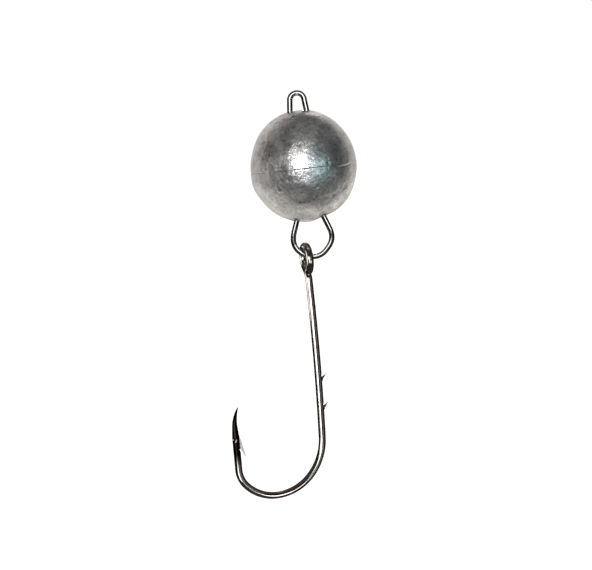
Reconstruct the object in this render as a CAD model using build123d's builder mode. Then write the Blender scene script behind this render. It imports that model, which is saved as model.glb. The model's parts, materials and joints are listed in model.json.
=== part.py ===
from build123d import *
from math import cos, radians, sin, tan
import os

# Collapsible jig head: a lead ball on a spring-wire clip, with a hook on the clip's loop.
# Millimetres. The origin is where the line bears, at the inside top of the clip's upper
# eye. +Z runs up the clip's axis, the clip's wire lies in the XZ plane, the hook's point
# is on the -X side.

# Ball
ball_radius = 7.5
ball_top_height = 8.2  # pole above the parting line: the upper half is the taller one
seam_z = -10.15
flash_reach = 0.08
flash_thickness = 0.22

# Clip
clip_wire = 0.8
clip_leg_x = 1.18  # centreline of each straight leg from the ball's axis
eye_radius = 1.0  # centreline radius of the line-tie eye
eye_splay = 6.0  # degrees that the eye's legs open by
loop_radius = 2.7  # centreline radius of the teardrop loop
loop_flare = 20.0  # degrees that the loop's legs close in by
loop_drop = 9.8  # loop's centre below the parting line
knee_radius = 3.0
shoulder_radius = 6.0
upper_end_rise = 2.4  # free end that comes down from the eye, above the parting line
lower_end_drop = 1.6  # free end that comes up from the loop, below the parting line
wire_end_break = 0.08

# Slot through the ball
slot_gap = 1.0  # across the flat slot
slot_top_width = 3.34
slot_bottom_width = 4.94
mouth_depth = 0.8
mouth_flare = 0.55  # each side of each mouth

# Hook
hook_wire = 1.05
hook_x = -1.2  # where the eye hangs on the loop
hook_twist = 14.0  # degrees that the bend plane is turned about +Z
hook_play = 0.55  # gap between the loop's wire and the eye
hook_eye_radius = 1.9
neck_turn = 65.0  # degrees that the shank bends by to meet the eye's circle
eye_closure = 168.0  # degrees past the eye's top where the wire's end meets the neck
shank_length = 22.4
shank_bow = 3.6  # degrees that the shank turns by along its length
bend_arcs = [(7.93, 41.4), (7.04, 48.0), (5.7, 46.0), (3.52, 42.4)]  # radius, degrees
leg_length = 4.3  # straight wire above the bend, full thickness
grind_length = 1.7  # straight stretch where the point's grinding starts
grind_diameter = 0.78
point_roll_radius = 5.8
point_roll = 29.0  # degrees that the needle point leans in
point_diameters = [0.49, 0.06]  # at the middle and the tip of the rolled point

# Barb, from the leg's inner face: (towards the shank, up) from the foot of the leg
barb_top = (0.0, 4.75)
barb_tip = (0.66, 1.86)
barb_root = (-0.2, 2.85)
barb_width = 0.56

# Bait slices on the shank's back: heights below the eye's centre, and one slice's outline
slice_heights = [-17.2, -21.25]
slice_tip = (0.62, 0.77)
slice_notch = (-0.12, 0.52)
slice_width = 0.5

os.makedirs("parts", exist_ok=True)

# ----- lead ball: revolved halves, a flash line, and the flat tapered slot -----
seam_plane = Plane.XY.offset(seam_z)
ball_profile_plane = Plane(origin=(0, 0, seam_z), x_dir=(1, 0, 0), z_dir=(0, -1, 0))
mouth_top_z = seam_z + ball_top_height - mouth_depth
mouth_bottom_z = seam_z - ball_radius + mouth_depth
past_ball = 0.4

with BuildPart() as lead_ball:
    with BuildSketch(ball_profile_plane):
        with BuildLine():
            lower = CenterArc((0, 0), ball_radius, -90, 90)
            upper = EllipticalCenterArc((0, 0), ball_radius, ball_top_height, arc_size=90)
            Line(upper @ 1, lower @ 0)
        make_face()
    revolve(axis=Axis.Z)
    with BuildSketch(seam_plane.offset(-flash_thickness / 2)):
        Circle(ball_radius + flash_reach)
    extrude(amount=flash_thickness)
    # the slot, narrow at the top and wide at the bottom
    with BuildSketch(Plane.XY.offset(seam_z + ball_top_height + past_ball)):
        SlotOverall(slot_top_width, slot_gap)
    with BuildSketch(Plane.XY.offset(seam_z - ball_radius - past_ball)):
        SlotOverall(slot_bottom_width, slot_gap)
    loft(mode=Mode.SUBTRACT)
    # both mouths are countersunk, as the mould's core pin leaves them
    with BuildSketch(Plane.XY.offset(mouth_bottom_z)):
        SlotOverall(slot_bottom_width, slot_gap)
    with BuildSketch(Plane.XY.offset(mouth_bottom_z - mouth_depth - past_ball)):
        SlotOverall(slot_bottom_width + 2 * mouth_flare, slot_gap + 2 * mouth_flare)
    loft(mode=Mode.SUBTRACT)
    with BuildSketch(Plane.XY.offset(mouth_top_z)):
        SlotOverall(slot_top_width, slot_gap)
    with BuildSketch(Plane.XY.offset(mouth_top_z + mouth_depth + past_ball)):
        SlotOverall(slot_top_width + mouth_flare, slot_gap + mouth_flare)
    loft(mode=Mode.SUBTRACT)

lead_ball.part.label = "lead_ball"
export_step(lead_ball.part, "parts/lead_ball.step")

# ----- wire clip: one bent wire, both ends inside the ball -----
flare = radians(loop_flare)
loop_centre_z = seam_z - loop_drop
loop_join_x = loop_radius * cos(flare)
loop_join_z = loop_centre_z + loop_radius * sin(flare)
knee_z = loop_join_z + (loop_join_x - clip_leg_x) / tan(flare)

splay = radians(eye_splay)
eye_centre_z = clip_wire / 2 - eye_radius
shoulder_z = eye_centre_z + eye_radius * sin(splay)
shoulder_z -= (clip_leg_x - eye_radius * cos(splay)) / tan(splay)

with BuildPart() as wire_clip:
    with BuildLine(Plane.XZ) as clip_path:
        eye = CenterArc((0, eye_centre_z), eye_radius, eye_splay, 180 - 2 * eye_splay)
        loop = CenterArc((0, loop_centre_z), loop_radius, 180 - loop_flare, 180 + 2 * loop_flare)
        FilletPolyline(
            (clip_leg_x, seam_z + upper_end_rise),
            (clip_leg_x, shoulder_z),
            eye @ 0,
            radius=shoulder_radius,
        )
        FilletPolyline(
            eye @ 1,
            (-clip_leg_x, shoulder_z),
            (-clip_leg_x, knee_z),
            loop @ 0,
            radius=[shoulder_radius, knee_radius],
        )
        FilletPolyline(
            loop @ 1,
            (clip_leg_x, knee_z),
            (clip_leg_x, seam_z - lower_end_drop),
            radius=knee_radius,
        )
    clip_wire_path = clip_path.wire()
    with BuildSketch(Plane(origin=clip_wire_path @ 0, z_dir=clip_wire_path % 0)):
        Circle(clip_wire / 2)
    sweep(path=clip_wire_path)
    wire_ends = wire_clip.faces().filter_by(GeomType.PLANE)
    chamfer(wire_ends.edges(), wire_end_break)

wire_clip.part.label = "wire_clip"
export_step(wire_clip.part, "parts/wire_clip.step")

# ----- hook: eye and shank in two planes at right angles -----
loop_wire_z = loop_centre_z - (loop_radius**2 - hook_x**2) ** 0.5
eye_centre = (
    hook_x,
    0,
    loop_wire_z + clip_wire / 2 + hook_play + hook_wire / 2 - hook_eye_radius,
)
bend_dir = Vector(1, 0, 0).rotate(Axis.Z, hook_twist)
depth_dir = Vector(0, 1, 0).rotate(Axis.Z, hook_twist)
bend_plane = Plane(origin=eye_centre, x_dir=bend_dir, z_dir=-depth_dir)
eye_plane = Plane(origin=eye_centre, x_dir=depth_dir, z_dir=bend_dir)

# the neck's arc leaves the shank upright, bends to the back and meets the eye's circle on
# its own tangent; the wire comes round to the front and its end meets the neck there
neck = radians(neck_turn)
neck_radius = hook_eye_radius * cos(neck) / (1 - cos(neck))
neck_z = -hook_eye_radius * sin(neck) - neck_radius * sin(neck)

shank_bow_radius = shank_length / radians(shank_bow)
half_wire = hook_wire / 2

with BuildPart() as hook:
    with BuildLine(eye_plane) as eye_path:
        turn = JernArc((0, neck_z), (0, 1), neck_radius, -neck_turn)
        JernArc(turn @ 1, turn % 1, hook_eye_radius, 90 + neck_turn + eye_closure)
    with BuildSketch(Plane(origin=eye_path.wire() @ 0, z_dir=eye_path.wire() % 0)):
        Circle(half_wire)
    sweep(path=eye_path.wire())

    with BuildLine(bend_plane) as bend_path:
        run = JernArc((0, neck_z), (0, -1), shank_bow_radius, -shank_bow)
        for arc_radius, arc_angle in bend_arcs:
            run = JernArc(run @ 1, run % 1, arc_radius, -arc_angle)
        leg = PolarLine(run @ 1, leg_length, direction=run % 1)
    with BuildSketch(Plane(origin=bend_path.wire() @ 0, z_dir=bend_path.wire() % 0)):
        Circle(half_wire)
    sweep(path=bend_path.wire())

    # needle point: the wire is ground down to the tip, which leans towards the shank
    with BuildLine(bend_plane):
        grind = PolarLine(leg @ 1, grind_length, direction=leg % 1)
        roll = JernArc(grind @ 1, grind % 1, point_roll_radius, -point_roll)
    with BuildSketch(Plane(origin=grind @ 0, z_dir=grind % 0)):
        Circle(half_wire)
    with BuildSketch(Plane(origin=grind @ 1, z_dir=grind % 1)):
        Circle(grind_diameter / 2)
    for place, diameter in zip((0.5, 1), point_diameters):
        with BuildSketch(Plane(origin=roll @ place, z_dir=roll % place)):
            Circle(diameter / 2)
    loft()

    # barb: a sliver cut up from the leg's inner face, its tip towards the bend
    leg_foot = bend_plane.to_local_coords(leg @ 0)
    inner_x = leg_foot.X + half_wire
    barb_points = [
        (inner_x + barb_top[0], leg_foot.Y + barb_top[1]),
        (inner_x + barb_tip[0], leg_foot.Y + barb_tip[1]),
        (inner_x + barb_root[0], leg_foot.Y + barb_root[1]),
    ]
    with BuildSketch(bend_plane):
        with BuildLine():
            Polyline(*barb_points, close=True)
        make_face()
    extrude(amount=barb_width / 2, both=True)

    # bait slices: slivers cut from the shank's back, their tips up and out
    for height in slice_heights:
        bow_fall = height - neck_z
        back_x = half_wire - bow_fall**2 / (2 * shank_bow_radius)
        with BuildSketch(bend_plane):
            with BuildLine():
                Polyline(
                    (back_x, height),
                    (back_x + slice_tip[0], height + slice_tip[1]),
                    (back_x + slice_notch[0], height + slice_notch[1]),
                    (back_x - half_wire / 2, height),
                    close=True,
                )
            make_face()
        extrude(amount=slice_width / 2, both=True)

hook.part.label = "hook"
export_step(hook.part, "parts/hook.step")
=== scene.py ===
import json
from math import atan2, cos, exp, pi, radians, sin, sqrt, tan

import bmesh
import bpy
import numpy as np
from mathutils import Matrix, Vector, noise


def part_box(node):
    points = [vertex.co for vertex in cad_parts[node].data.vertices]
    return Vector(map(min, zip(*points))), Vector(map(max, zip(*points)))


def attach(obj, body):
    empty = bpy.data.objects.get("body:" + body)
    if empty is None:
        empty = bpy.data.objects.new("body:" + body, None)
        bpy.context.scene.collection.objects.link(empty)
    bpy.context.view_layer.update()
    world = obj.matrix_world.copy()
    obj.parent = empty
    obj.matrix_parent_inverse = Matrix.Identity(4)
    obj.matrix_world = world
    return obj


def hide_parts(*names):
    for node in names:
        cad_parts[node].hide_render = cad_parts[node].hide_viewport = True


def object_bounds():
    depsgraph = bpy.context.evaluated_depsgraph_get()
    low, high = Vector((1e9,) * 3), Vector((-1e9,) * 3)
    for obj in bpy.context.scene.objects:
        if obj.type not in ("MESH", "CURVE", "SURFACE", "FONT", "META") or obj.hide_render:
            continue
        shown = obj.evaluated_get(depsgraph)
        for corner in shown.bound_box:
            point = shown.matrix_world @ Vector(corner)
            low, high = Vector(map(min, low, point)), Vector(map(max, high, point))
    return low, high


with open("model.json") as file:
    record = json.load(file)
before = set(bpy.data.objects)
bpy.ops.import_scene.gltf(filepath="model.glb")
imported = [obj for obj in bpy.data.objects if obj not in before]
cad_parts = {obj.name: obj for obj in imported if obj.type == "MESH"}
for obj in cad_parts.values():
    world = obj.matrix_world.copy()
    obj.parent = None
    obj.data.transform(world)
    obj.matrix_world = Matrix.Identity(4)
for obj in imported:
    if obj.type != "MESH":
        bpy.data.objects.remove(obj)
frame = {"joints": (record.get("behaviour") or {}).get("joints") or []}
cad_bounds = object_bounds()

# Collapsible jig head: a cast lead ball on a bent-wire clip, and a hook on the clip's loop.
# Everything is in metres in the row frame: the origin is where the line bears, inside the
# top of the clip's eye, +Z runs up the clip's axis and the hook's point is towards -X.

MM = 0.001
clip_low, clip_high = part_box("wire_clip")
hook_joint = next(j for j in frame["joints"] if j["name"] == "hook_swing")
hook_pivot = Vector(hook_joint["pos_m"])

# ---------------------------------------------------------------- driving dimensions
LINE_STEP = 0.12 * MM  # between the points along a wire
CLIP_END_BREAK = 0.12 * MM
HOOK_END_BREAK = 0.15 * MM
END_FACE = 0.72  # a cut end's radius, as a share of the wire's

CLIP_WIRE = clip_high.z  # the eye's inside top is at z = 0
LOOP_RADIUS = (clip_high.x - clip_low.x - CLIP_WIRE) / 2
LOOP_CENTRE_Z = clip_low.z + CLIP_WIRE / 2 + LOOP_RADIUS
LOOP_DROP = 9.8 * MM  # the loop's centre below the parting line
SEAM_Z = LOOP_CENTRE_Z + LOOP_DROP
EYE_RADIUS = 1.0 * MM
EYE_SPLAY = radians(6)
LEG_X = 1.18 * MM
LOOP_FLARE = radians(20)
KNEE_RADIUS = 3.0 * MM
SHOULDER_RADIUS = 6.0 * MM
UPPER_END_RISE = 2.4 * MM
LOWER_END_DROP = 1.6 * MM
# where hand bending leaves the loop off a true circle: angle about its centre and spread in
# degrees, then outward shift in mm
LOOP_BENDS = [(-43, 22, -0.13), (-158, 24, 0.08)]

BALL_RADIUS = 7.5 * MM
SKIN_RADIUS = 7.44 * MM  # of the plain shape that the cast skin's relief stands on
BALL_TOP_HEIGHT = 8.18 * MM
BALL_BOTTOM_HEIGHT = 7.58 * MM
SIDE_BULGE = 0.12 * MM  # a low swelling on the left, just under the parting line
SLIVER_START = 38  # azimuth in degrees where the torn sliver of flash starts
SLIVER_SPAN = 24
UPPER_HALF_SHIFT = Vector((-0.13, 0, 0)) * MM  # the mould halves sit a little out of line
LOWER_HALF_SHIFT = Vector((-0.16, -0.04, 0)) * MM
POINTS_AROUND = 410  # in each ring of the ball's skin
SKIN_SEED = 11

HOOK_WIRE = 1.05 * MM
HOOK_PLAY = 0.55 * MM
HOOK_TWIST = radians(14)
HOOK_EYE_RADIUS = 1.9 * MM
NECK_TURN = radians(65)
EYE_CLOSURE = radians(168)
SHANK_LENGTH = 22.4 * MM
SHANK_BOW = radians(3.6)
BEND_ARCS = [(7.93, 41.4), (7.04, 48.0), (5.7, 46.0), (3.52, 42.4)]  # mm, degrees
LEG_LENGTH = 4.3 * MM
GRIND_LENGTH = 1.7 * MM
POINT_ROLL_RADIUS = 5.8 * MM
POINT_ROLL = radians(29)
POINT_TAPER = 0.66  # a power: under 1 keeps the point full until close to its tip
TIP_RADIUS = 0.012 * MM
BARB_HALF_WIDTH = 0.24 * MM
SLICE_HALF_WIDTH = 0.2 * MM
SLICE_HEIGHTS = (-17.2 * MM, -21.25 * MM)  # from the eye's centre
NICK_HALF_WIDTH = 0.5 * MM
CUTTER_HALF_WIDTH = 0.8 * MM  # wider than the wire, so a notch goes right across it


# ---------------------------------------------------------------- small helpers
def smoothstep(low, high, value):
    t = min(max((value - low) / (high - low), 0.0), 1.0)
    return t * t * (3 - 2 * t)


def bell(off, width):
    """1 where off is 0, falling away to either side."""
    return exp(-((off / width) ** 2))


class Pen:
    """Walks a line of straight runs and tangent arcs in a plane, leaving points."""

    def __init__(self, x, y, heading):
        self.x, self.y, self.heading = x, y, heading
        self.points = [(x, y)]

    def forward(self, length):
        count = max(1, round(length / LINE_STEP))
        for _ in range(count):
            self.x += cos(self.heading) * length / count
            self.y += sin(self.heading) * length / count
            self.points.append((self.x, self.y))
        return self

    def turn(self, radius, angle):
        """Positive angles turn to the left."""
        count = max(3, round(abs(angle) * radius / LINE_STEP), round(abs(angle) / radians(4)))
        chord = 2 * radius * sin(abs(angle) / count / 2)
        for _ in range(count):
            self.heading += angle / count / 2
            self.x += cos(self.heading) * chord
            self.y += sin(self.heading) * chord
            self.heading += angle / count / 2
            self.points.append((self.x, self.y))
        return self


def tube(name, points, radii, sides=28):
    """A closed round wire along points, with its own radius at each of them."""
    points = [Vector(p) for p in points]
    bm = bmesh.new()
    rings = []
    across = None
    for i, point in enumerate(points):
        ahead = points[min(i + 1, len(points) - 1)] - points[max(i - 1, 0)]
        ahead.normalize()
        if across is None:
            across = ahead.orthogonal().normalized()
        across = (across - ahead * across.dot(ahead)).normalized()
        other = ahead.cross(across)
        ring = []
        for k in range(sides):
            a = 2 * pi * k / sides
            ring.append(bm.verts.new(point + (across * cos(a) + other * sin(a)) * radii[i]))
        rings.append(ring)
    for low, high in zip(rings, rings[1:]):
        for k in range(sides):
            n = (k + 1) % sides
            bm.faces.new((low[k], low[n], high[n], high[k]))
    for ring, order in ((rings[0], -1), (rings[-1], 1)):
        bm.faces.new(ring[::order])
    bmesh.ops.recalc_face_normals(bm, faces=bm.faces)
    return finish_mesh(name, bm)


def finish_mesh(name, bm):
    mesh = bpy.data.meshes.new(name)
    bm.to_mesh(mesh)
    bm.free()
    piece = bpy.data.objects.new(name, mesh)
    bpy.context.scene.collection.objects.link(piece)
    return piece


def boolean(piece, cutter, operation):
    """Applies an exact boolean and removes the cutter."""
    modifier = piece.modifiers.new("cut", "BOOLEAN")
    modifier.operation = operation
    modifier.solver = "EXACT"
    modifier.object = cutter
    bpy.context.view_layer.update()
    evaluated = piece.evaluated_get(bpy.context.evaluated_depsgraph_get())
    mesh = bpy.data.meshes.new_from_object(evaluated)
    piece.modifiers.clear()
    old, piece.data = piece.data, mesh
    bpy.data.meshes.remove(old)
    cutter_mesh = cutter.data
    bpy.data.objects.remove(cutter)
    bpy.data.meshes.remove(cutter_mesh)


def smooth(piece, angle=35):
    piece.data.shade_smooth()
    piece.data.set_sharp_from_angle(angle=radians(angle))


def rounded_end(points, radii, length):
    """Eases the radius down over the first length of a wire: a cut end with its edge broken."""
    out = list(radii)
    for i, point in enumerate(points):
        run = (Vector(point) - Vector(points[0])).length
        if run < length:
            out[i] = radii[i] * (END_FACE + (1 - END_FACE) * sqrt(1 - (1 - run / length) ** 2))
    return out


# ---------------------------------------------------------------- wire clip
def clip_line():
    """The clip's centreline in the XZ plane: up over the eye, down, round the loop and up again."""
    eye_z = CLIP_WIRE / 2 - EYE_RADIUS
    slant = (LEG_X - EYE_RADIUS * cos(EYE_SPLAY)) / sin(EYE_SPLAY)
    shoulder_z = eye_z + EYE_RADIUS * sin(EYE_SPLAY) - slant * cos(EYE_SPLAY)
    flare_run = (LOOP_RADIUS * cos(LOOP_FLARE) - LEG_X) / sin(LOOP_FLARE)
    knee_z = LOOP_CENTRE_Z + LOOP_RADIUS * sin(LOOP_FLARE) + flare_run * cos(LOOP_FLARE)
    shoulder = SHOULDER_RADIUS * tan(EYE_SPLAY / 2)
    knee = KNEE_RADIUS * tan(LOOP_FLARE / 2)
    upper_end = SEAM_Z + UPPER_END_RISE
    lower_end = SEAM_Z - LOWER_END_DROP
    pen = Pen(LEG_X, upper_end, pi / 2)
    pen.forward(shoulder_z - shoulder - upper_end).turn(SHOULDER_RADIUS, EYE_SPLAY)
    pen.forward(slant - shoulder).turn(EYE_RADIUS, pi - 2 * EYE_SPLAY)
    pen.forward(slant - shoulder).turn(SHOULDER_RADIUS, EYE_SPLAY)
    pen.forward(shoulder_z - shoulder - knee_z - knee).turn(KNEE_RADIUS, -LOOP_FLARE)
    pen.forward(flare_run - knee).turn(LOOP_RADIUS, pi + 2 * LOOP_FLARE)
    pen.forward(flare_run - knee).turn(KNEE_RADIUS, -LOOP_FLARE)
    pen.forward(lower_end - knee_z - knee)
    return [bent_loop(x, z - LOOP_CENTRE_Z) for x, z in pen.points]


def bent_loop(x, up):
    """A point of the clip's line, at x and up from the loop's centre, moved by the loop's bends."""
    angle = atan2(up, x)
    for middle, spread, shift in LOOP_BENDS:
        out = shift * MM * bell(angle - radians(middle), radians(spread))
        x, up = x + out * cos(angle), up + out * sin(angle)
    return x, LOOP_CENTRE_Z + up


def make_clip():
    line = [(x, 0, z) for x, z in clip_line()]
    radii = [CLIP_WIRE / 2] * len(line)
    radii = rounded_end(line, radii, CLIP_END_BREAK)
    radii = rounded_end(line[::-1], radii[::-1], CLIP_END_BREAK)[::-1]
    clip = tube("wire_clip_wire", line, radii)
    smooth(clip)
    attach(clip, "clip")
    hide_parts("wire_clip")
    return clip


# ---------------------------------------------------------------- hook
def hook_frame():
    """The eye's centre, and the directions towards the shank's back, away from the view, and up."""
    rise = CLIP_WIRE / 2 + HOOK_PLAY + HOOK_WIRE / 2 - HOOK_EYE_RADIUS
    centre = hook_pivot + Vector((0, 0, rise))
    back = Vector((cos(HOOK_TWIST), sin(HOOK_TWIST), 0))
    deep = Vector((-sin(HOOK_TWIST), cos(HOOK_TWIST), 0))
    return centre, back, deep, Vector((0, 0, 1))


def in_hook(x, depth, z):
    centre, back, deep, up = hook_frame()
    return centre + back * x + deep * depth + up * z


def hook_lines():
    """The eye's line, the bend's line, how many of its points are full wire, the neck's height."""
    neck_radius = HOOK_EYE_RADIUS * cos(NECK_TURN) / (1 - cos(NECK_TURN))
    neck_z = -(HOOK_EYE_RADIUS + neck_radius) * sin(NECK_TURN)
    eye = Pen(0, neck_z, pi / 2)
    eye.turn(neck_radius, -NECK_TURN)
    eye.turn(HOOK_EYE_RADIUS, pi / 2 + NECK_TURN + EYE_CLOSURE)
    bend = Pen(0, neck_z, -pi / 2)
    bend.turn(SHANK_LENGTH / SHANK_BOW, -SHANK_BOW)
    for radius, angle in BEND_ARCS:
        bend.turn(radius * MM, -radians(angle))
    bend.forward(LEG_LENGTH)
    full = len(bend.points)
    bend.forward(GRIND_LENGTH).turn(POINT_ROLL_RADIUS, -POINT_ROLL)
    return eye.points, bend.points, full, neck_z


def shank_x(z, neck_z):
    """The shank's centreline at a height below the eye's centre."""
    return -((z - neck_z) ** 2) * SHANK_BOW / (2 * SHANK_LENGTH)


def prism(name, outline, half_width, materials, slot=1, depth=0.0):
    """A flat solid in the hook's bend plane; its faces take one of the hook's two materials."""
    bm = bmesh.new()
    near = [bm.verts.new(in_hook(x, depth - half_width, z)) for x, z in outline]
    far = [bm.verts.new(in_hook(x, depth + half_width, z)) for x, z in outline]
    bm.faces.new(near)
    bm.faces.new(far[::-1])
    for i in range(len(outline)):
        j = (i + 1) % len(outline)
        bm.faces.new((near[i], far[i], far[j], near[j]))
    bmesh.ops.recalc_face_normals(bm, faces=bm.faces)
    for face in bm.faces:
        face.material_index = slot
    piece = finish_mesh(name, bm)
    for material in materials:
        piece.data.materials.append(material)
    return piece


def moved(outline, x, z):
    """An outline in mm, moved so that its origin is at x and z in the hook's frame."""
    return [(x + across * MM, z + up * MM) for across, up in outline]


def make_hook():
    eye, bend, full, neck_z = hook_lines()
    half = HOOK_WIRE / 2
    line = [in_hook(0, x, z) for x, z in reversed(eye)] + [in_hook(x, 0, z) for x, z in bend[1:]]
    ground = len(bend) - full
    radii = [half] * (len(line) - ground)
    for i in range(ground):
        t = (i + 1) / ground
        radii.append(half * (1 - t) ** POINT_TAPER + TIP_RADIUS)
    radii = rounded_end(line, radii, HOOK_END_BREAK)
    hook = tube("hook_wire", line, radii, sides=32)
    foot_x, foot_z = bend[full - 1 - round(LEG_LENGTH / LINE_STEP)]
    materials = nickel_material(in_hook(foot_x, 0, foot_z)), cut_material()
    for material in materials:
        hook.data.materials.append(material)

    # barb: a sliver raised from the inner face of the point leg
    notch = [(-0.16, 2.85), (0.0, 2.5), (0.5, 0.9), (1.2, 1.4), (0.35, 3.4)]
    barb = [(-0.3, 4.6), (0.05, 4.95), (0.24, 4.15), (0.4, 3.4), (0.55, 2.6), (0.68, 1.86),
            (0.6, 1.83), (0.42, 2.3), (0.16, 2.74), (-0.2, 3.0)]
    inner = foot_x + half
    cutter = prism("notch", moved(notch, inner, foot_z), CUTTER_HALF_WIDTH, materials)
    boolean(hook, cutter, "DIFFERENCE")
    piece = prism("barb", moved(barb, inner, foot_z), BARB_HALF_WIDTH, materials)
    boolean(hook, piece, "UNION")

    # nicks left by the grinding wheel across the front, where the point begins: depth in mm
    # from the wire's middle, and outline
    nicks = [
        (-0.65, [(-0.1, 4.28), (0.2, 4.2), (0.27, 4.34), (0.1, 4.48), (-0.1, 4.54)]),
        (-0.9, [(0.4, 3.82), (0.56, 3.92), (0.68, 4.28), (0.55, 4.34), (0.35, 4.0)]),
    ]
    for depth, nick in nicks:
        outline = moved(nick, foot_x - half, foot_z)
        cutter = prism("nick", outline, NICK_HALF_WIDTH, materials, depth=depth * MM)
        boolean(hook, cutter, "DIFFERENCE")

    # bait slices on the shank's back: plated slivers over bare notches
    notch = [(-0.16, 0.42), (0.02, 0.34), (0.3, 0.4), (0.3, 1.0), (0.04, 0.98)]
    sliver = [(-0.3, -0.1), (0.02, -0.28), (0.1, 0.0), (0.32, 0.28), (0.6, 0.76), (0.54, 0.78),
              (0.3, 0.54), (-0.12, 0.36)]
    for height in SLICE_HEIGHTS:
        back = shank_x(height, neck_z) + half
        cutter = prism("notch", moved(notch, back, height), CUTTER_HALF_WIDTH, materials)
        boolean(hook, cutter, "DIFFERENCE")
        piece = prism("sliver", moved(sliver, back, height), SLICE_HALF_WIDTH, materials, slot=0)
        boolean(hook, piece, "UNION")
    smooth(hook, 40)
    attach(hook, "hook")
    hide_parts("hook")
    return hook


# ---------------------------------------------------------------- lead ball
# Marks of casting and use: azimuth round from the front towards +X and height above the parting
# line in degrees, then radius, depth and raised rim in mm.
DENTS = [
    (-37, 5, 0.52, 0.07, 0.035),
    (-27, -10, 0.34, 0.06, 0.02),
    (-30, -18, 0.42, 0.06, 0.02),
    (-19, -24, 0.30, 0.04, 0.015),
    (13, -20, 0.36, 0.05, 0.02),
    (34, -14, 0.30, 0.05, 0.0),
    (39, 6, 0.34, 0.05, 0.01),
    (52, -24, 0.55, 0.05, 0.02),
    (-58, 20, 0.60, 0.06, 0.0),
    (-8, 46, 0.45, 0.05, 0.02),
    (-10, 62, 0.40, 0.06, 0.02),
    (120, 24, 0.60, 0.08, 0.02),
    (150, -12, 0.45, 0.07, 0.03),
    (-140, 34, 0.50, 0.06, 0.02),
    (-165, -30, 0.65, 0.08, 0.02),
    (5, -70, 0.35, 0.07, 0.02),
    (-20, -66, 0.30, 0.06, 0.02),
]
# Soft hollows where the lead is worn back beside the clip's legs: x, y, z of a unit direction,
# radius and depth in mm.
HOLLOWS = [
    ((0.30, -0.17, -0.94), 1.25, 0.42),
    ((-0.30, -0.16, -0.94), 1.0, 0.24),
    ((0.17, -0.16, 0.97), 1.0, 0.22),
    ((-0.17, -0.16, 0.97), 1.0, 0.2),
    ((0.0, 0.2, 0.98), 1.3, 0.12),
    ((0.3, 0.15, -0.94), 1.1, 0.15),
]


def ball_direction(azimuth, height):
    azimuth, height = radians(azimuth), radians(height)
    return Vector((sin(azimuth) * cos(height), -cos(azimuth) * cos(height), sin(height)))


def ball_latitudes():
    """Degrees, close together at the parting line."""
    low = np.linspace(-90, -5, 94, endpoint=False)
    seam = np.linspace(-5, 5, 44, endpoint=False)
    return np.concatenate([low, seam, np.linspace(5, 90, 94)])


def ball_marks():
    """The dents above, and a scatter of small pits: unit direction, radius, depth and rim in mm."""
    marks = [(ball_direction(az, el), size, depth, rim) for az, el, size, depth, rim in DENTS]
    rng = np.random.default_rng(SKIN_SEED)
    for _ in range(170):
        direction = rng.normal(size=3)
        direction /= np.linalg.norm(direction)
        size = 0.13 + 0.3 * rng.random() ** 2
        marks.append((Vector(direction), size, size * (0.08 + 0.12 * rng.random()), 0.0))
    return marks


def crinkle(place, warp):
    """A wrinkled skin: sharp crests between soft hollows, from -1 to 1."""
    bent = place + Vector(noise.noise_vector(place * 0.6)) * warp
    return 1 - 4 * abs(noise.noise(bent))


def seam_relief(azimuth, latitude):
    """The parting line's height in mm: a fine uneven groove, and one torn sliver of flash."""
    around = Vector((sin(radians(azimuth)), cos(radians(azimuth)), 0))
    off = latitude - 0.8 * noise.noise(around * 2.6)
    patch = noise.noise(around * 2.1 + Vector((0, 0, 4.3)))
    depth = 0.12 + 0.34 * smoothstep(-0.2, 0.3, patch)
    # cut deeper again towards the left edge
    depth += 0.4 * (smoothstep(-84, -72, azimuth) - smoothstep(-48, -40, azimuth))
    relief = 0.01 * bell(off - 1.0, 0.6) - 0.034 * depth * bell(off, 0.4)
    along = (azimuth - SLIVER_START) / SLIVER_SPAN
    if 0 < along < 1:
        ridge = latitude + 1.3 - 2.2 * along
        height = smoothstep(0, 0.25, along) * (1 - smoothstep(0.6, 1, along))
        relief += height * (0.16 * bell(ridge, 0.75) - 0.05 * bell(ridge + 1.9, 0.8))
    return relief


def ball_relief(direction, azimuth, latitude, marks):
    """How far the cast skin stands off the plain shape, in mm."""
    d = direction
    relief = 0.06 * noise.noise(d * 1.8 + Vector((3, 1, 7)))
    relief += 0.06 * noise.noise(d * 3.6)
    relief += 0.0065 * crinkle(d * 9 + Vector((9, 2, 4)), 1.2)
    relief += 0.0038 * crinkle(d * 21 + Vector((1, 8, 2)), 0.8)
    relief += seam_relief(azimuth, latitude)
    for centre, size, depth, rim in marks:
        gap = (d - centre).length * BALL_RADIUS / MM / size
        if gap < 2.2:
            relief += rim * bell(gap - 1.15, 0.35) - depth * bell(gap * 1.2, 1)
    for centre, size, depth in HOLLOWS:
        gap = (d - Vector(centre)).length * BALL_RADIUS / MM / size
        relief -= depth * bell(gap, 1)
    return relief


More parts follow.
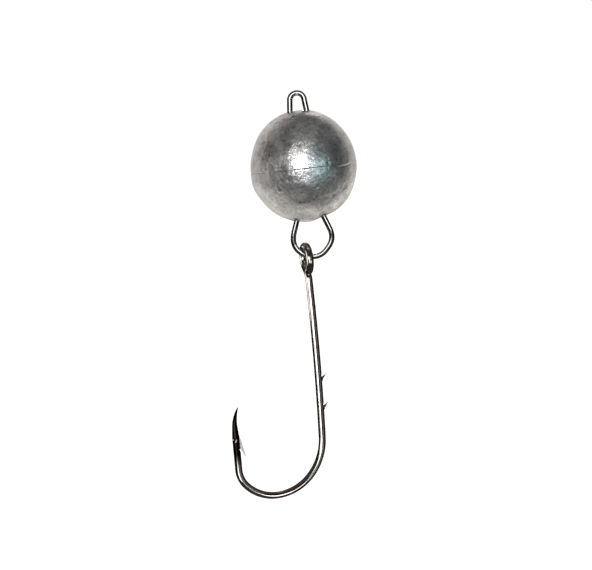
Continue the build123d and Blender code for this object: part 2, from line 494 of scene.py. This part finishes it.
def make_ball():
    noise.seed_set(SKIN_SEED)  # noise_vector is otherwise seeded by the clock
    marks = ball_marks()
    bm = bmesh.new()
    heights = bm.verts.layers.float.new("relief")
    rings = []
    for latitude in ball_latitudes()[1:-1]:
        height = BALL_TOP_HEIGHT if latitude > 0 else BALL_BOTTOM_HEIGHT
        shift = UPPER_HALF_SHIFT if latitude > 0 else LOWER_HALF_SHIFT
        ring = []
        for k in range(POINTS_AROUND):
            azimuth = 360 * k / POINTS_AROUND - 180
            direction = ball_direction(azimuth, latitude)
            relief = ball_relief(direction, azimuth, latitude, marks)
            bulge = bell(latitude + 16, 9) * smoothstep(0.3, 1, -direction.x)
            place = Vector(direction * SKIN_RADIUS)
            place.z = direction.z * height
            place += shift + direction * (relief * MM + bulge * SIDE_BULGE) + Vector((0, 0, SEAM_Z))
            vertex = bm.verts.new(place)
            vertex[heights] = relief
            ring.append(vertex)
        rings.append(ring)
    for low, high in zip(rings, rings[1:]):
        for k in range(POINTS_AROUND):
            n = (k + 1) % POINTS_AROUND
            bm.faces.new((low[k], low[n], high[n], high[k]))
    bottom = bm.verts.new(LOWER_HALF_SHIFT + Vector((0, 0, SEAM_Z - BALL_BOTTOM_HEIGHT)))
    top = bm.verts.new(UPPER_HALF_SHIFT + Vector((0, 0, SEAM_Z + BALL_TOP_HEIGHT)))
    for k in range(POINTS_AROUND):
        n = (k + 1) % POINTS_AROUND
        bm.faces.new((bottom, rings[0][n], rings[0][k]))
        bm.faces.new((top, rings[-1][k], rings[-1][n]))
    bmesh.ops.recalc_face_normals(bm, faces=bm.faces)
    ball = finish_mesh("lead_ball_casting", bm)
    boolean(ball, slot_cutter(), "DIFFERENCE")
    smooth(ball, 50)
    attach(ball, "ball")
    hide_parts("lead_ball")
    return ball


def slot_cutter():
    """The flat tapered slot with its countersunk mouths, as one solid."""
    half_gap = 0.5 * MM
    sections = [  # height, half width, half gap
        (SEAM_Z - BALL_RADIUS - 0.4 * MM, 3.1 * MM, 1.05 * MM),
        (SEAM_Z - BALL_RADIUS + 0.15 * MM, 2.72 * MM, 0.74 * MM),
        (SEAM_Z - BALL_RADIUS + 0.8 * MM, 2.44 * MM, half_gap),
        (SEAM_Z + BALL_TOP_HEIGHT - 0.8 * MM, 1.69 * MM, half_gap),
        (SEAM_Z + BALL_TOP_HEIGHT - 0.1 * MM, 1.85 * MM, 0.62 * MM),
        (SEAM_Z + BALL_TOP_HEIGHT + 0.4 * MM, 2.1 * MM, 0.85 * MM),
    ]
    steps = 14
    bm = bmesh.new()
    rings = []
    for z, half_width, gap in sections:
        ring = []
        for side in (1, -1):
            for k in range(steps + 1):
                a = -pi / 2 + pi * k / steps
                x = side * (half_width - gap + gap * cos(a))
                ring.append(bm.verts.new((x, side * gap * sin(a), z)))
        rings.append(ring)
    for low, high in zip(rings, rings[1:]):
        for k in range(len(low)):
            n = (k + 1) % len(low)
            bm.faces.new((low[k], low[n], high[n], high[k]))
    bm.faces.new(rings[0][::-1])
    bm.faces.new(rings[-1])
    bmesh.ops.recalc_face_normals(bm, faces=bm.faces)
    return finish_mesh("slot", bm)


# ---------------------------------------------------------------- materials
def new_material(name):
    material = bpy.data.materials.new(name)
    material.use_nodes = True
    tree = material.node_tree
    return material, tree, tree.nodes["Principled BSDF"]


def node(tree, kind, inputs=None, **settings):
    made = tree.nodes.new(kind)
    for key, value in settings.items():
        setattr(made, key, value)
    for key, value in (inputs or {}).items():
        if isinstance(value, bpy.types.NodeSocket):
            tree.links.new(value, made.inputs[key])
        else:
            made.inputs[key].default_value = value
    return made


def ramp(tree, factor, stops):
    made = node(tree, "ShaderNodeValToRGB", {"Fac": factor})
    elements = made.color_ramp.elements
    while len(elements) < len(stops):
        elements.new(0.5)
    for element, (place, colour) in zip(elements, stops):
        element.position = place
        element.color = (*colour, 1)
    return made.outputs["Color"]


def mix_colour(tree, factor, a, b, blend="MIX"):
    made = tree.nodes.new("ShaderNodeMix")
    made.data_type = "RGBA"
    made.blend_type = blend
    for socket, value in ((made.inputs[0], factor), (made.inputs[6], a), (made.inputs[7], b)):
        if isinstance(value, bpy.types.NodeSocket):
            tree.links.new(value, socket)
        else:
            socket.default_value = value if isinstance(value, float) else (*value, 1)
    return made.outputs[2]


def noise_texture(tree, position, scale, detail=4.0, roughness=0.6, distortion=0.0):
    made = node(tree, "ShaderNodeTexNoise", {"Vector": position, "Scale": scale, "Detail": detail})
    made.inputs["Roughness"].default_value = roughness
    made.inputs["Distortion"].default_value = distortion
    return made.outputs["Fac"]


def map_range(tree, value, from_min, from_max, to_min=0.0, to_max=1.0, curve="LINEAR"):
    made = node(tree, "ShaderNodeMapRange", {"Value": value}, interpolation_type=curve)
    made.inputs["From Min"].default_value = from_min
    made.inputs["From Max"].default_value = from_max
    made.inputs["To Min"].default_value = to_min
    made.inputs["To Max"].default_value = to_max
    return made.outputs["Result"]


def lead_material():
    """Dull cast lead: blotched oxide on bright metal, darker in its hollows, with a grained skin."""
    material, tree, shader = new_material("cast_lead")
    position = tree.nodes.new("ShaderNodeTexCoord").outputs["Object"]
    relief = node(tree, "ShaderNodeAttribute", attribute_name="relief").outputs["Fac"]
    blotch = noise_texture(tree, position, 240, 6, 0.62, 0.5)
    grain = noise_texture(tree, position, 1900, 5, 0.66, 1.6)
    worm = noise_texture(tree, position, 1350, 4, 0.72, 2.6)
    fine = noise_texture(tree, position, 4600, 3, 0.6)
    colour = ramp(tree, blotch, [
        (0.4, (0.355, 0.348, 0.356)),
        (0.48, (0.43, 0.422, 0.428)),
        (0.52, (0.5, 0.49, 0.487)),
        (0.6, (0.585, 0.575, 0.56)),
    ])
    speck = ramp(tree, grain, [(0.33, (0.3, 0.29, 0.28)), (0.45, (1, 1, 1))])
    colour = mix_colour(tree, 0.8, colour, speck, "MULTIPLY")
    skin = ramp(tree, worm, [
        (0.36, (0.6, 0.59, 0.575)),
        (0.5, (0.95, 0.95, 0.95)),
        (0.64, (1.24, 1.23, 1.2)),
    ])
    colour = mix_colour(tree, 0.9, colour, skin, "MULTIPLY")
    hollow = map_range(tree, relief, -0.09, 0.03, 0.62, 1.08)
    colour = mix_colour(tree, 1.0, colour, hollow, "MULTIPLY")
    tree.links.new(colour, shader.inputs["Base Color"])
    rough = ramp(tree, blotch, [(0.3, (0.31,) * 3), (0.7, (0.42,) * 3)])
    tree.links.new(rough, shader.inputs["Roughness"])
    shader.inputs["Metallic"].default_value = 0.94
    bump_fine = node(tree, "ShaderNodeBump", {"Height": fine, "Strength": 0.15, "Distance": 0.00003})
    bump = node(tree, "ShaderNodeBump", {"Height": grain, "Strength": 0.36, "Distance": 0.00012,
                                         "Normal": bump_fine.outputs["Normal"]})
    tree.links.new(bump.outputs["Normal"], shader.inputs["Normal"])
    return material


def near_point(tree, position, foot):
    """Mask of the painted shade on the hook's point leg: rises from 0 at the foot of the leg to 1
    halfway up it; 0 on the shank.
    """
    split = node(tree, "ShaderNodeSeparateXYZ", {"Vector": position})
    low, high = foot.z - 0.6 * MM, foot.z + 2.2 * MM
    far, close = foot.x + 4 * MM, foot.x + 2 * MM
    up = map_range(tree, split.outputs["Z"], low, high, curve="SMOOTHSTEP")
    side = map_range(tree, split.outputs["X"], far, close, curve="SMOOTHSTEP")
    both = node(tree, "ShaderNodeMath", {0: up, 1: side}, operation="MULTIPLY")
    return both.outputs["Value"]


def wire_material(name, bright, stain, rough, grain, painted_shade_foot=None):
    """Polished round wire: faint stains, and fine drawing marks that barely break the shine. Given
    the foot of a hook's point leg, it paints the leg above it nearly black as shade.
    """
    material, tree, shader = new_material(name)
    position = tree.nodes.new("ShaderNodeTexCoord").outputs["Object"]
    cloud = noise_texture(tree, position, 500, 4, 0.6)
    fine = noise_texture(tree, position, 3800, 3, 0.6)
    colour = ramp(tree, cloud, [(0.38, stain), (0.56, bright)])
    if painted_shade_foot:
        # painted shade: the point leg above its foot is mixed towards near black
        point = near_point(tree, position, painted_shade_foot)
        colour = mix_colour(tree, point, colour, (0.011, 0.008, 0.007))
    tree.links.new(colour, shader.inputs["Base Color"])
    rough_map = ramp(tree, cloud, [(0.35, (rough * 1.5,) * 3), (0.6, (rough * 0.8,) * 3)])
    tree.links.new(rough_map, shader.inputs["Roughness"])
    shader.inputs["Metallic"].default_value = 1.0
    bump = node(tree, "ShaderNodeBump", {"Height": fine, "Strength": grain, "Distance": 0.000008})
    tree.links.new(bump.outputs["Normal"], shader.inputs["Normal"])
    return material


def nickel_material(foot):
    """Dark nickel plate, with shade painted nearly black on the point leg above the foot of that
    leg.
    """
    return wire_material("black_nickel", (0.53, 0.5, 0.475), (0.38, 0.33, 0.3), 0.11, 0.3, foot)


def stainless_material():
    return wire_material("stainless_wire", (0.72, 0.71, 0.69), (0.55, 0.535, 0.51), 0.12, 0.16)


def cut_material():
    """The paler, duller faces that the blade leaves on the barb and the slices."""
    material, tree, shader = new_material("cut_steel")
    position = tree.nodes.new("ShaderNodeTexCoord").outputs["Object"]
    scratch = noise_texture(tree, position, 5200, 3, 0.6)
    colour = ramp(tree, scratch, [(0.35, (0.36, 0.35, 0.33)), (0.65, (0.66, 0.64, 0.61))])
    tree.links.new(colour, shader.inputs["Base Color"])
    shader.inputs["Metallic"].default_value = 0.62
    shader.inputs["Roughness"].default_value = 0.38
    bump = node(tree, "ShaderNodeBump", {"Height": scratch, "Strength": 0.3, "Distance": 0.00001})
    tree.links.new(bump.outputs["Normal"], shader.inputs["Normal"])
    return material


# ---------------------------------------------------------------- studio
FLOOR_RADIUS = 4.0
FLOOR_DROP = 0.02  # the object hangs this far above the floor
LIGHT_DISTANCE = 0.8  # far enough for the object to be small beside it
CAMERA_DISTANCE = 0.30
CAMERA_TILT = radians(4.2)  # looking down
CAMERA_ROLL = radians(6.6)
CAMERA_SENSOR = 36  # mm
WIDTH_SEEN = 83.3 * MM
AIM_RIGHT = 0.39 * MM  # where the picture's middle is, from the object's
AIM_UP = 1.17 * MM


def make_world():
    """White for the eye and for soft fill; metal sees a dark studio, paler overhead and below."""
    world = bpy.data.worlds.new("studio")
    bpy.context.scene.world = world
    world.use_nodes = True
    tree = world.node_tree
    tree.nodes.clear()
    direction = tree.nodes.new("ShaderNodeTexCoord").outputs["Generated"]
    split = node(tree, "ShaderNodeSeparateXYZ", {"Vector": direction})
    height = map_range(tree, split.outputs["Z"], -1.0, 1.0)
    greys = [(0.0, 0.05), (0.4, 0.004), (0.6, 0.005), (1.0, 0.08)]
    shade = ramp(tree, height, [(place, (grey,) * 3) for place, grey in greys])
    dark = node(tree, "ShaderNodeBackground", {"Color": shade, "Strength": 1.0})
    white = node(tree, "ShaderNodeBackground", {"Color": (1, 1, 1, 1), "Strength": 1.02})
    path = tree.nodes.new("ShaderNodeLightPath")
    glossy = path.outputs["Is Glossy Ray"]
    mix = node(tree, "ShaderNodeMixShader", {0: glossy, 1: white.outputs[0], 2: dark.outputs[0]})
    out = tree.nodes.new("ShaderNodeOutputWorld")
    tree.links.new(mix.outputs[0], out.inputs["Surface"])


def soft_light(name, piece, aim, azimuth, height, size, radiance, colour=(1, 1, 1),
               distance=LIGHT_DISTANCE, shape="ELLIPSE", spread=180):
    """A glowing panel that lights only one piece. Its azimuth, 0 in front and 90 to the right,
    its height, and its size or (width, height) are in degrees as seen from aim."""
    azimuth, height = radians(azimuth), radians(height)
    way = Vector((sin(azimuth) * cos(height), -cos(azimuth) * cos(height), sin(height)))
    width, tall = size if isinstance(size, tuple) else (size, size)
    data = bpy.data.lights.new(name, "AREA")
    data.shape = shape
    data.size = 2 * distance * tan(radians(width) / 2)
    data.size_y = 2 * distance * tan(radians(tall) / 2)
    area = data.size * data.size_y * (pi / 4 if shape == "ELLIPSE" else 1)
    data.energy = radiance * pi * area
    data.color = colour
    data.spread = radians(spread)
    light = bpy.data.objects.new(name, data)
    light.location = Vector(aim) + way * distance
    light.rotation_mode = "QUATERNION"
    light.rotation_quaternion = (-way).to_track_quat("-Z", "Y")
    light.visible_camera = False
    bpy.context.scene.collection.objects.link(light)
    group = bpy.data.collections.new(name + "_receivers")
    group.objects.link(piece)
    light.light_linking.receiver_collection = group


def make_floor():
    bm = bmesh.new()
    bmesh.ops.create_circle(bm, cap_ends=True, segments=96, radius=FLOOR_RADIUS)
    floor = finish_mesh("floor", bm)
    floor.location.z = cad_bounds[0].z - FLOOR_DROP
    material, tree, shader = new_material("floor_paper")
    position = tree.nodes.new("ShaderNodeTexCoord").outputs["Object"]
    grain = noise_texture(tree, position, 900)
    colour = ramp(tree, grain, [(0.3, (0.9, 0.9, 0.9)), (0.7, (0.94, 0.94, 0.94))])
    tree.links.new(colour, shader.inputs["Base Color"])
    shader.inputs["Roughness"].default_value = 0.9
    shader.inputs["Emission Color"].default_value = (1, 1, 1, 1)
    shader.inputs["Emission Strength"].default_value = 0.3
    floor.data.materials.append(material)
    floor.visible_glossy = False
    floor.visible_shadow = False


def make_camera():
    """In front of the object and a little above it, turned so that the clip's top leans left."""
    middle = (cad_bounds[0] + cad_bounds[1]) / 2
    aim = Vector((middle.x + AIM_RIGHT, 0, middle.z + AIM_UP))
    forward = Vector((0, cos(CAMERA_TILT), -sin(CAMERA_TILT)))
    level_right, level_up = Vector((1, 0, 0)), Vector((0, sin(CAMERA_TILT), cos(CAMERA_TILT)))
    right = level_right * cos(CAMERA_ROLL) - level_up * sin(CAMERA_ROLL)
    up = level_right * sin(CAMERA_ROLL) + level_up * cos(CAMERA_ROLL)
    data = bpy.data.cameras.new("camera")
    data.sensor_width = CAMERA_SENSOR
    data.lens = CAMERA_SENSOR * CAMERA_DISTANCE / WIDTH_SEEN
    data.clip_start, data.clip_end = 0.001, 20
    camera = bpy.data.objects.new("camera", data)
    turned = Matrix((right, up, -forward)).transposed().to_4x4()
    camera.matrix_world = Matrix.Translation(aim - forward * CAMERA_DISTANCE) @ turned
    bpy.context.scene.collection.objects.link(camera)
    bpy.context.scene.camera = camera


def light_ball(ball):
    """A bright spot in a soft halo on the front, a cool patch beside it, and a pale rim."""
    middle = Vector((0, 0, SEAM_Z))
    soft_light("ball_key", ball, middle, -5, 8.6, 10, 108.0)
    soft_light("ball_halo", ball, middle, -2, 6, 52, 0.66)
    soft_light("ball_side", ball, middle, 31, -1, 28, 3.6, (0.66, 1.0, 0.97))
    soft_light("ball_left", ball, middle, -58, 6, 26, 0.35, (1.0, 0.95, 0.94))
    soft_light("ball_back", ball, middle, 193, -23, 150, 1.0, (1.0, 0.965, 0.915), distance=0.1)
    soft_light("ball_glint", ball, middle, 166, 34, 16, 1.5)


def light_hook(hook):
    """Streaks along the shank and round the bend, and a warm glow on the left of the eye."""
    middle = (cad_bounds[0] + cad_bounds[1]) / 2
    soft_light("hook_top", hook, middle, -22, 2.6, (68, 16), 3.0, shape="RECTANGLE")
    soft_light("hook_streak", hook, middle, -17, -14, (22, 30), 5.0)
    soft_light("hook_bend", hook, middle, 14, -19, 14, 1.2)
    soft_light("hook_low", hook, middle, 28, -22, (12, 20), 4.6)
    soft_light("hook_left", hook, hook_frame()[0], -92, 0, (56, 40), 0.36, (1.0, 0.93, 0.91),
               distance=0.03, spread=60)
    soft_light("hook_side", hook, middle, 50, -4, (30, 60), 0.2)
    soft_light("hook_back", hook, middle, 180, 10, (50, 80), 2.0)


def light_clip(clip):
    middle = (cad_bounds[0] + cad_bounds[1]) / 2
    soft_light("clip_band", clip, middle, 0, 14, (66, 30), 2.1)
    soft_light("clip_back", clip, middle, 180, 20, (50, 60), 2.0)


clip = make_clip()
hook = make_hook()
ball = make_ball()
clip.data.materials.append(stainless_material())
ball.data.materials.append(lead_material())

make_world()
make_floor()
make_camera()
light_ball(ball)
light_hook(hook)
light_clip(clip)

bpy.context.scene.view_settings.view_transform = "Standard"
